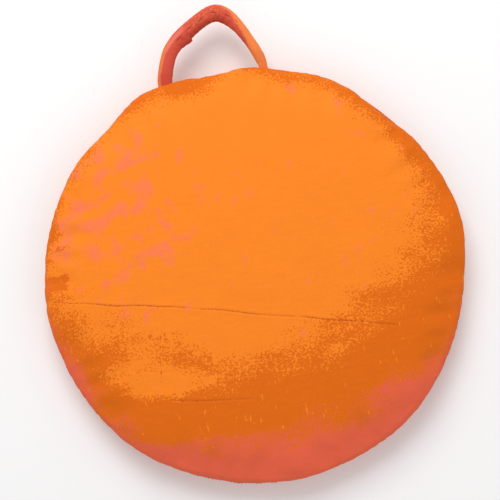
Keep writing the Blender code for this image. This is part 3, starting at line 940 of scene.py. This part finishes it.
def reseat(piece, each, target, lift, reach):
    # moves every stitch onto the cloth below it
    surface = BVHTree.FromPolygons(
        [vertex.co for vertex in target.data.vertices],
        [list(face.vertices) for face in target.data.polygons],
    )
    points = places(piece)
    for start in range(0, len(points), each):
        stitch = points[start:start + each]
        middle = Vector((stitch.max(axis=0) + stitch.min(axis=0)) / 2)
        found, normal, _, apart = surface.find_nearest(middle)
        if found is not None and apart < reach:
            points[start:start + each] += np.array(found + normal * lift - middle)
    setPlaces(piece, points)


def stitchRow(name, arc, height, target, v):
    # stitches end to end along an arc of the rim, laid on their cloth
    centre, radius, start, sweep = arc
    piece = makeStitch(name, (radius, 0, height), v["long"], v["thick"])
    each = len(piece.data.vertices)
    setPlaces(piece, places(piece) + np.array(onFloor(centre)))
    turnAbout(piece, centre, start)
    step = v["pitch"] / radius
    copiedAround(piece, onFloor(centre), step, int(sweep / step))
    reseat(piece, each, target, v["thick"] * 0.5 - v["sunk"], v["reach"])
    return settle(piece)


deselect()
frontRow, backRow = bandHighZ - stitching["fromSeam"], bandLowZ + stitching["fromSeam"]
frontZipRow, backZipRow = frontBox[0].z + stitching["fromZip"], backBox[1].z - stitching["fromZip"]
rows = [
    ("seamThreadFrontPlain", plainHalf, frontRow, coverSide),
    ("seamThreadBackPlain", plainHalf, backRow, coverSide),
    ("seamThreadFrontZip", zipHalf, frontRow, zipStripFront),
    ("seamThreadBackZip", zipHalf, backRow, zipStripBack),
    ("zipThreadFront", zipHalf, frontZipRow, zipStripFront),
    ("zipThreadBack", zipHalf, backZipRow, zipStripBack),
]
threads = [stitchRow(*row, stitching) for row in rows]
print("thread rows sewn")


class Wire:
    # a socket that can be used in sums
    def __init__(self, recipe, socket):
        self.recipe = recipe
        self.socket = socket

    def __add__(self, other):
        return self.recipe.maths("ADD", self, other)

    def __sub__(self, other):
        return self.recipe.maths("SUBTRACT", self, other)

    def __rsub__(self, other):
        return self.recipe.maths("SUBTRACT", other, self)

    def __mul__(self, other):
        return self.recipe.maths("MULTIPLY", self, other)

    __radd__ = __add__
    __rmul__ = __mul__


class Recipe:
    # one material and the nodes that make it
    def __init__(self, name, roughness):
        self.material = bpy.data.materials.new(name)
        self.material.use_nodes = True
        self.tree = self.material.node_tree
        self.shader = self.tree.nodes["Principled BSDF"]
        self.fixed("Roughness", roughness)
        self.place = self.add("ShaderNodeTexCoord", output="Object")

    def add(self, kind, settings=None, sockets=None, output=0):
        node = self.tree.nodes.new(kind)
        for key, value in (settings or {}).items():
            setattr(node, key, value)
        for key, value in (sockets or {}).items():
            self.give(node.inputs[key], value)
        return Wire(self, node.outputs[output])

    def give(self, socket, value):
        if isinstance(value, Wire):
            self.tree.links.new(value.socket, socket)
        elif isinstance(value, (tuple, list)) and len(value) == 3 and socket.type == "RGBA":
            socket.default_value = (*value, 1)
        else:
            socket.default_value = value

    def fixed(self, name, value):
        self.give(self.shader.inputs[name], value)

    def parts(self):
        # the place's x, y and z
        split = self.add("ShaderNodeSeparateXYZ", None, {0: self.place})
        return [Wire(self, split.socket.node.outputs[index]) for index in range(3)]

    def joined(self, x, y, z):
        return self.add("ShaderNodeCombineXYZ", None, {0: x, 1: y, 2: z})

    def cloud(self, size, detail=2.0, roughness=0.5, vector=None):
        # soft noise from 0 to 1 with features of about that size
        vector = vector or self.place
        sockets = {"Vector": vector, "Scale": 1 / size, "Detail": detail, "Roughness": roughness}
        return self.add("ShaderNodeTexNoise", None, sockets)

    def ranged(self, value, low, high):
        # 0 below low, 1 above high, and smooth between them
        settings = {"interpolation_type": "SMOOTHSTEP"}
        return self.add("ShaderNodeMapRange", settings, {0: value, 1: low, 2: high})

    def between(self, value, low, full, fullEnd, end):
        # 1 from full to fullEnd, and 0 outside low and end
        return self.ranged(value, low, full) * (1 - self.ranged(value, fullEnd, end))

    def mixed(self, share, first, second):
        return self.add("ShaderNodeMix", {"data_type": "RGBA"}, {0: share, 6: first, 7: second}, output=2)

    def shaded(self, colour, strength):
        # the colour made darker or lighter by a number
        grey = self.joined(strength, strength, strength)
        return self.add("ShaderNodeVectorMath", {"operation": "MULTIPLY"}, {0: colour, 1: grey})

    def paint(self, share, colour, factor, tone):
        # the base colour: it varies to a darker or lighter one, and then in tone
        other = tuple(part * factor for part in colour)
        self.fixed("Base Color", self.shaded(self.mixed(share, colour, other), tone))

    def bumped(self, height, distance, strength=1.0, under=None):
        sockets = {"Strength": strength, "Distance": distance, "Height": height}
        if under:
            sockets["Normal"] = under
        return self.add("ShaderNodeBump", None, sockets)

    def maths(self, operation, first, second=0.0):
        return self.add("ShaderNodeMath", {"operation": operation}, {0: first, 1: second})

    def wave(self, value, pitch, shift=0.0):
        # a smooth wave from -1 to 1
        return self.maths("SINE", value * (math.tau / pitch) + shift)

    def attribute(self, name):
        return self.add("ShaderNodeAttribute", {"attribute_name": name}, output="Fac")

    def finished(self, roughness, height, distance):
        self.fixed("Roughness", roughness)
        self.fixed("Normal", self.bumped(height, distance))
        return self.material


def plainWeave(recipe, across, along, pitch):
    # threads over and under each other, as a height from 0 to 1
    first = recipe.wave(across, pitch)
    second = recipe.wave(along, pitch)
    over = first * second * 0.5 + 0.5
    warp = recipe.maths("ABSOLUTE", recipe.wave(across, pitch * 2, 0.7))
    weft = recipe.maths("ABSOLUTE", recipe.wave(along, pitch * 2, 0.7))
    return over * warp + (1 - over) * weft


# The cloth's tones, several of them painted shade or painted highlight, the sizes of its grain in metres, and
# where on the pad each tone and each painted shade begins and ends.
clothColours = {
    "bright": (0.955, 0.236, 0.014),
    # the deep tone is painted shade, where the face turns from the lamp
    "deep": (0.745, 0.14, 0.002),
    # the far rim's painted shade, darker and pinker; on the back panel, its scuffs
    "farShadeAndScuff": (0.8, 0.12, 0.06),
    # pinkish patches of painted sheen
    "blushSheen": (0.95, 0.192, 0.085),
    # painted shade in the folds
    "crease": (0.5, 0.07, 0.008),
    # the handle's painted shade, painted shade in its folds, its lit orange and its painted pink highlight
    "handleShadeRed": (0.63, 0.078, 0.048),
    "handleCreaseShade": (0.3, 0.022, 0.008),
    "handleLitOrange": (0.85, 0.22, 0.055),
    "handlePinkHighlight": (0.78, 0.19, 0.13),
    "weavePitch": 0.0009,
    "fibre": 0.0013,
    "speckle": 0.00169,
    "slub": 0.0035,
    "blotch": 0.045,
    "lump": 0.014,
    "streak": 0.022,
    "scratch": 0.0028,
    "ripples": [0.0075, 0.0032],
    "sheen": 0.2,
    "sheenTint": (1.0, 0.46, 0.14),
    "specular": 0.18,
    "litFrom": (-0.008, 0.124),
    "litReach": 0.2007,
    "paleFrom": (-0.104, -0.078),
    "paleSize": (0.02, 0.058),
    "farShadeFrom": (0.013, 0.063),
    "farShadeReach": 0.214,
    "scuffReach": 0.168,
    "lessShadeAt": (-0.145, -0.116),
    "moreShadeAt": (0.063, -0.125),
    "rimReach": 0.183,
    "rimShadows": [((-0.018, 0.186), 0.011), ((0.052, 0.18), 0.008), ((-0.048, 0.176), 0.004)],
    "blushSheenFrom": (-0.114, 0.088),
}


def orangeCloth(name, v, shape):
    # brushed cloth: a weave under short fibres, with painted shade in a deeper tone away from the handle and
    # a darker, pinker painted shade at the far rim
    r = Recipe(name, 0.78)
    x, y, z = r.parts()
    if shape == "band":
        across, along = r.maths("ARCTAN2", x, y) * bandRadius, z
    elif shape == "tube":
        across, along = x, y + z
    else:
        across, along = x, y
    weave = plainWeave(r, across, along, v["weavePitch"])
    fibre = r.cloud(v["fibre"], 3.0, 0.65, r.joined(across * 0.55, along, z))
    speck = r.cloud(v["speckle"], 1.5)
    slub = r.cloud(v["slub"], vector=r.joined(across * 0.2, along, z))
    blotch = r.cloud(v["blotch"], 3.0, 0.6)
    lump = r.cloud(v["lump"])
    streak = r.cloud(v["streak"], 3.0, 0.6, r.joined(across * 0.35, along, z))
    flat = r.joined(x, y, 0.0)

    def farFrom(point):
        sockets = {0: flat, 1: (*point, 0)}
        return r.add("ShaderNodeVectorMath", {"operation": "DISTANCE"}, sockets, output="Value")

    def near(point, full, none):
        return 1 - r.ranged(farFrom(point), full, none)

    grain = (speck - 0.5) * 0.1 + (fibre - 0.5) * 0.045
    patchy = (blotch - 0.5) * 0.06 + (streak - 0.5) * 0.075
    # a paler strip, long across the pad and short down it, where the painted shade is held back as a painted
    # lighter band
    turn = cameraView["turn"]
    fromX, fromY = x - v["paleFrom"][0], y - v["paleFrom"][1]
    downPatch = fromX * math.sin(turn) + fromY * math.cos(turn)
    acrossPatch = fromX * math.cos(turn) - fromY * math.sin(turn)
    downPart, acrossPart = downPatch * (1 / v["paleSize"][0]), acrossPatch * (1 / v["paleSize"][1])
    paleStrip = r.maths("SQRT", downPart * downPart + acrossPart * acrossPart)
    pale = (1 - r.ranged(paleStrip + patchy * 8, 0.3, 1.2)) * 0.045
    # painted shade: outside a lit disc near the handle the face takes its deep tone, as the far part of the
    # dome turns from the lamp
    beyond = farFrom(v["litFrom"]) - v["litReach"] - pale + patchy + grain
    # painted shade along the rim, where the cloth rolls away from the lamp: wider on the right, streaked on
    # the left, and deeper at three dips near the handle
    rightSide = r.ranged(x, 0.07, 0.17)
    rim = farFrom((0, 0)) + rightSide * 0.014 - v["rimReach"] + (patchy + grain) * 0.45
    leftSide = (1 - r.ranged(x, -0.18, -0.135)) * r.between(y, 0.0, 0.02, 0.055, 0.085)
    rim = rim + leftSide * r.ranged(streak, 0.44, 0.56) * 0.026
    for middle, deeper in v["rimShadows"]:
        rim = rim + near(middle, 0.01, 0.036) * deeper
    # where either painted shade falls
    deep = r.maths("MAXIMUM", r.ranged(beyond, -0.007, 0.007), r.ranged(rim, -0.003, 0.004))
    fold = r.attribute("fold")
    if shape == "tube":
        # painted shade and light on the handle: red as painted shade where it turns from the lamp, the lit
        # orange on its outer side and its right leg, a painted pink highlight on its left shoulder, and
        # darker painted shade in its folds and on its inner side
        along = r.attribute("along")
        inward = r.attribute("inward")
        uneven = (lump - 0.5) * 0.5 + (speck - 0.5) * 0.65 + (fibre - 0.5) * 0.35
        rightLeg = r.ranged(along - inward * 0.3 + uneven * 0.14, 0.52, 0.6)
        outerEdge = 1 - r.ranged(inward + uneven * 0.25, 0.2, 0.34)
        leftEdge = outerEdge * (1 - r.ranged(along + uneven * 0.2, 0.2, 0.34))
        litSide = r.maths("MAXIMUM", rightLeg, leftEdge * 0.75)
        colour = r.mixed(litSide, v["handleShadeRed"], v["handleLitOrange"])
        shoulder = r.between(along, 0.2, 0.24, 0.33, 0.4)
        highlightStripe = r.between(inward + uneven * 0.2, 0.1, 0.2, 0.34, 0.42)
        colour = r.mixed(shoulder * highlightStripe * 0.75, colour, v["handlePinkHighlight"])
        # specks of the lit orange across the shaded top
        flecks = r.ranged(speck + fibre * 0.6, 0.82, 0.92) * r.between(along, 0.3, 0.4, 0.66, 0.8)
        colour = r.mixed(flecks * 0.42, colour, v["handleLitOrange"])
        # painted shade on the inner side and in the folds
        innerShade = r.ranged(inward + uneven, 0.5, 0.8) * r.between(along, 0.24, 0.36, 0.6, 0.72)
        dark = r.maths("MAXIMUM", r.ranged(fold + uneven, 0.2, 0.9), innerShade * 0.6)
        colour = r.mixed(dark * 0.8, colour, v["handleCreaseShade"])
    else:
        # painted shade at the far rim: past a wide circle the face and band turn darker and pinker, less so
        # at one place and more at another
        lessShade = near(v["lessShadeAt"], 0.02, 0.09) * 0.022
        moreShade = near(v["moreShadeAt"], 0.015, 0.07) * 0.006
        farShadeEdge = farFrom(v["farShadeFrom"]) - v["farShadeReach"] - lessShade + moreShade
        farShadeAndScuff = r.ranged(farShadeEdge + patchy * 0.65 + grain * 0.6, -0.01, 0.007)
        if shape == "back":
            # rubbed on what it lies on: scuffed towards its rim, otherwise evenly worn
            deep = r.ranged(blotch * 0.6 + streak * 0.5 + (speck - 0.5) * 0.5, 0.46, 0.7) * 0.5
            scuffed = farFrom((0, 0)) - v["scuffReach"] + patchy * 0.5 + grain * 0.5
            farShadeAndScuff = r.ranged(scuffed, -0.016, 0.004) * r.ranged(streak + fibre * 0.3, 0.45, 0.75) * 0.8
        # the lit tone, and the deep tone where the painted shade falls; on the back panel the deep tone is
        # only evenly spread wear
        colour = r.mixed(deep, v["bright"], v["deep"])
        # light streaks as painted crease sheen: they show only in the painted shade, where they bring back
        # the lit tone
        scratch = r.cloud(v["scratch"], 1.0, vector=r.joined(across, along * 0.22, z)) + (slub - 0.5) * 0.25
        colour = r.mixed(r.ranged(scratch, 0.7, 0.76) * deep * 0.7, colour, v["bright"])
        # the far rim's painted shade on the face and band; on the back, the scuffs towards its rim
        colour = r.mixed(farShadeAndScuff * 0.95, colour, v["farShadeAndScuff"])
        # pinkish patches of painted sheen, gathered at the upper left of the face and spread thinly over the
        # back
        common = 0.3 if shape == "back" else near(v["blushSheenFrom"], 0.035, 0.105)
        blushSheen = r.ranged(lump + blotch * 0.5 + common * 0.18 + (speck - 0.5) * 0.22, 0.89, 1.06)
        colour = r.mixed(blushSheen * 0.75 * (1 - deep), colour, v["blushSheen"])
        # painted shade in the folds
        creaseShaded = r.ranged(fold + (speck - 0.5) + (streak - 0.5) * 0.7, 0.2, 0.9)
        colour = r.mixed(creaseShaded * 0.85, colour, v["crease"])
    tone = 0.865 + weave * 0.08 + fibre * 0.14 + (slub - 0.5) * 0.08 + (blotch - 0.5) * 0.06
    r.fixed("Base Color", r.shaded(colour, tone))
    r.fixed("Roughness", 0.7 + fibre * 0.16 + (lump - 0.5) * 0.08)
    fine = r.bumped(weave * 0.6 + fibre * 0.8 + slub * 0.4, 0.00016, 0.8)
    if shape == "band":
        # the rim's cloth is gathered, so it ripples round the pad
        long, short = v["ripples"]
        ripple = r.cloud(long, vector=r.joined(across, along * 0.28, 0.0))
        ripple = ripple + r.cloud(short, 1.0, vector=r.joined(across, along * 0.45, 3.0)) * 0.35
        fine = r.bumped(ripple, 0.0022, 0.8, fine)
    r.fixed("Normal", r.bumped(lump + speck * 0.25, 0.0008, 0.5, fine))
    r.fixed("Sheen Weight", v["sheen"])
    r.fixed("Sheen Roughness", 0.45)
    r.fixed("Sheen Tint", v["sheenTint"])
    r.fixed("Specular IOR Level", v["specular"])
    return r.material


def threadCloth(name, colour):
    # twisted thread, with a spiral of plies
    r = Recipe(name, 0.6)
    x, y, z = r.parts()
    along = r.maths("ARCTAN2", x, y) * bandRadius
    ply = r.maths("ABSOLUTE", r.wave(along + z * 1.5, 0.0009))
    fuzz = r.cloud(0.0006)
    r.paint(fuzz, colour, 0.7, 0.8 + ply * 0.25)
    r.fixed("Sheen Weight", 0.2)
    return r.finished(0.5 + fuzz * 0.2, ply, 0.0001)


def ribbedTape(name, colour, pitch):
    # a narrow woven tape, ribbed across its length
    r = Recipe(name, 0.75)
    x, y, z = r.parts()
    rib = r.maths("ABSOLUTE", r.wave(z, pitch * 2))
    weft = r.maths("ABSOLUTE", r.wave(r.maths("ARCTAN2", x, y) * bandRadius, pitch))
    fuzz = r.cloud(0.0012, 3.0)
    blotch = r.cloud(0.02)
    r.paint(fuzz, colour, 0.75, 0.68 + rib * 0.16 + weft * 0.12 + fuzz * 0.16 + (blotch - 0.5) * 0.12)
    r.fixed("Sheen Weight", 0.15)
    return r.finished(0.66 + fuzz * 0.2, rib + weft * 0.6, 0.00015)


def nylonCoil(name, colour):
    r = Recipe(name, 0.38)
    scuff = r.cloud(0.0008, 3.0)
    r.paint(r.cloud(0.006), colour, 0.8, 0.92 + scuff * 0.16)
    return r.finished(0.28 + scuff * 0.25, scuff, 0.00002)


def enamelledMetal(name, colour):
    # painted zinc, rubbed bare in specks
    r = Recipe(name, 0.35)
    scratch = r.cloud(0.0005, 4.0, 0.7)
    patch = r.cloud(0.003, 3.0)
    worn = r.ranged(scratch * 0.7 + patch * 0.6, 0.78, 0.9)
    r.fixed("Base Color", r.mixed(worn, colour, (0.55, 0.54, 0.52)))
    r.fixed("Metallic", worn)
    r.fixed("Coat Weight", 0.3 * (1 - worn))
    return r.finished(0.3 + scratch * 0.25, scratch, 0.00003)


def foamSheet(name, colour, cell, roughness):
    # open foam or wadding: cells of two sizes
    r = Recipe(name, roughness)
    cells = r.add("ShaderNodeTexVoronoi", None, {"Vector": r.place, "Scale": 1 / cell})
    soft = r.cloud(cell * 6, 3.0)
    r.paint(soft, colour, 0.85, 0.8 + cells * 0.2 + (soft - 0.5) * 0.22)
    return r.finished(roughness - 0.05 + soft * 0.1, cells + soft, cell * 0.5)


def liningCloth(name, colour):
    r = Recipe(name, 0.6)
    x, y, _ = r.parts()
    weave = plainWeave(r, x, y, 0.0006)
    blotch = r.cloud(0.03, 3.0)
    r.paint(blotch, colour, 1.25, 0.8 + weave * 0.3)
    return r.finished(0.5 + blotch * 0.2, weave, 0.00012)


def boardPly(name, light, dark):
    # birch ply: growth lines on the faces, layers on the edge
    r = Recipe(name, 0.55)
    x, y, z = r.parts()
    bend = r.cloud(0.05, 3.0, vector=r.joined(x, y * 0.25, z))
    grain = r.wave(x + bend * 0.05, 0.011)
    pores = r.cloud(0.0012, 3.0, 0.7, r.joined(x, y * 0.06, z))
    layers = r.ranged(r.wave(z, 0.003), -0.3, 0.3)
    share = grain * 0.18 + pores * 0.5 + layers * 0.25
    r.fixed("Base Color", r.mixed(share, light, dark))
    return r.finished(0.42 + pores * 0.3, pores, 0.0001)


def mouldedRubber(name, colour, roughness, grit):
    r = Recipe(name, roughness)
    grain = r.cloud(grit, 3.0, 0.6)
    bloom = r.cloud(0.025, 3.0)
    paler = tuple(part * 1.5 + 0.02 for part in colour)
    r.fixed("Base Color", r.mixed(r.ranged(bloom + (grain - 0.5) * 0.4, 0.4, 0.8), colour, paler))
    return r.finished(roughness - 0.08 + grain * 0.16, grain, grit * 0.2)


def coat(piece, material):
    piece.data.materials.clear()
    piece.data.materials.append(material)


def coatNodes(names, material):
    for name in names:
        coat(frame["nodes"][name], material)


faceCloth = orangeCloth("orangeClothFace", clothColours, "flat")
backCloth = orangeCloth("orangeClothBack", clothColours, "back")
bandCloth = orangeCloth("orangeClothBand", clothColours, "band")
tubeCloth = orangeCloth("orangeClothTube", clothColours, "tube")
orangeThread = threadCloth("orangeThread", (0.86, 0.25, 0.045))
coat(coverFront, faceCloth)
coat(coverBack, backCloth)
bandPieces = [coverSide, zipStripFront, zipStripBack, endTabRight, endTabLeft]
for piece in bandPieces:
    coat(piece, bandCloth)
coat(handleLoop, tubeCloth)
for piece in threads:
    coat(piece, orangeThread)
nylon = nylonCoil("nylonCoil", (0.8, 0.21, 0.025))
coat(zipCoilFront, nylon)
coat(zipCoilBack, nylon)
coatNodes(["zip_tape_front", "zip_tape_back"], ribbedTape("zipTape", (0.78, 0.19, 0.02), 0.0008))
coatNodes(["front_seam_binding", "back_seam_binding"], ribbedTape("seamTape", (0.6, 0.16, 0.03), 0.0011))
coatNodes(["handle_patch_left", "handle_patch_right"], ribbedTape("patchWebbing", (0.55, 0.14, 0.03), 0.0018))
metalNodes = ["zip_slider", "zip_pull", "zip_top_stop_front", "zip_top_stop_back", "zip_bottom_stop"]
coatNodes(metalNodes, enamelledMetal("zipEnamel", (0.66, 0.2, 0.05)))
coatNodes(["front_wadding", "back_wadding", "side_wadding", "handle_core"],
          foamSheet("waddingFleece", (0.72, 0.7, 0.64), 0.0016, 0.9))
coatNodes(["front_lining", "back_lining"], liningCloth("liningCloth", (0.1, 0.1, 0.11)))
coatNodes(["base_board"], boardPly("boardPly", (0.5, 0.34, 0.19), (0.32, 0.19, 0.1)))
coatNodes(["edge_guard"], mouldedRubber("guardRubber", (0.05, 0.05, 0.05), 0.55, 0.0006))
coatNodes(["base_grip_ring"], mouldedRubber("gripRubber", (0.03, 0.03, 0.03), 0.75, 0.001))
coatNodes(["cushion_layer"], foamSheet("cushionFoam", (0.08, 0.08, 0.09), 0.0008, 0.85))
coatNodes(["playing_surface"], mouldedRubber("playingRubber", (0.28, 0.28, 0.29), 0.62, 0.0004))
print("materials made")

studioPaper = {"size": 9.0, "under": 0.0004}


def makeFloor(v):
    bpy.ops.mesh.primitive_plane_add(size=v["size"], location=(0, 0, -v["under"]))
    piece = named("studioFloor")
    r = Recipe("floorPaper", 0.9)
    haze = r.cloud(0.8)
    r.fixed("Base Color", r.mixed(haze, (0.95, 0.95, 0.95), (0.93, 0.93, 0.93)))
    coat(piece, r.material)


deselect()
makeFloor(studioPaper)
print("floor laid")

for piece in [coverFront, coverBack, *bandPieces, *threads]:
    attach(piece, "cover")
for piece in (zipCoilFront, zipCoilBack):
    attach(piece, "cover")
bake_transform(handleLoop)
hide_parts("front_panel")
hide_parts("back_panel")
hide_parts("side_band")
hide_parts("zip_band_front")
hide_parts("zip_band_back")
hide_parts("zip_teeth_front")
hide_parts("zip_teeth_back")
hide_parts("zip_end_tab_right")
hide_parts("zip_end_tab_left")
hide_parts("handle_sleeve")
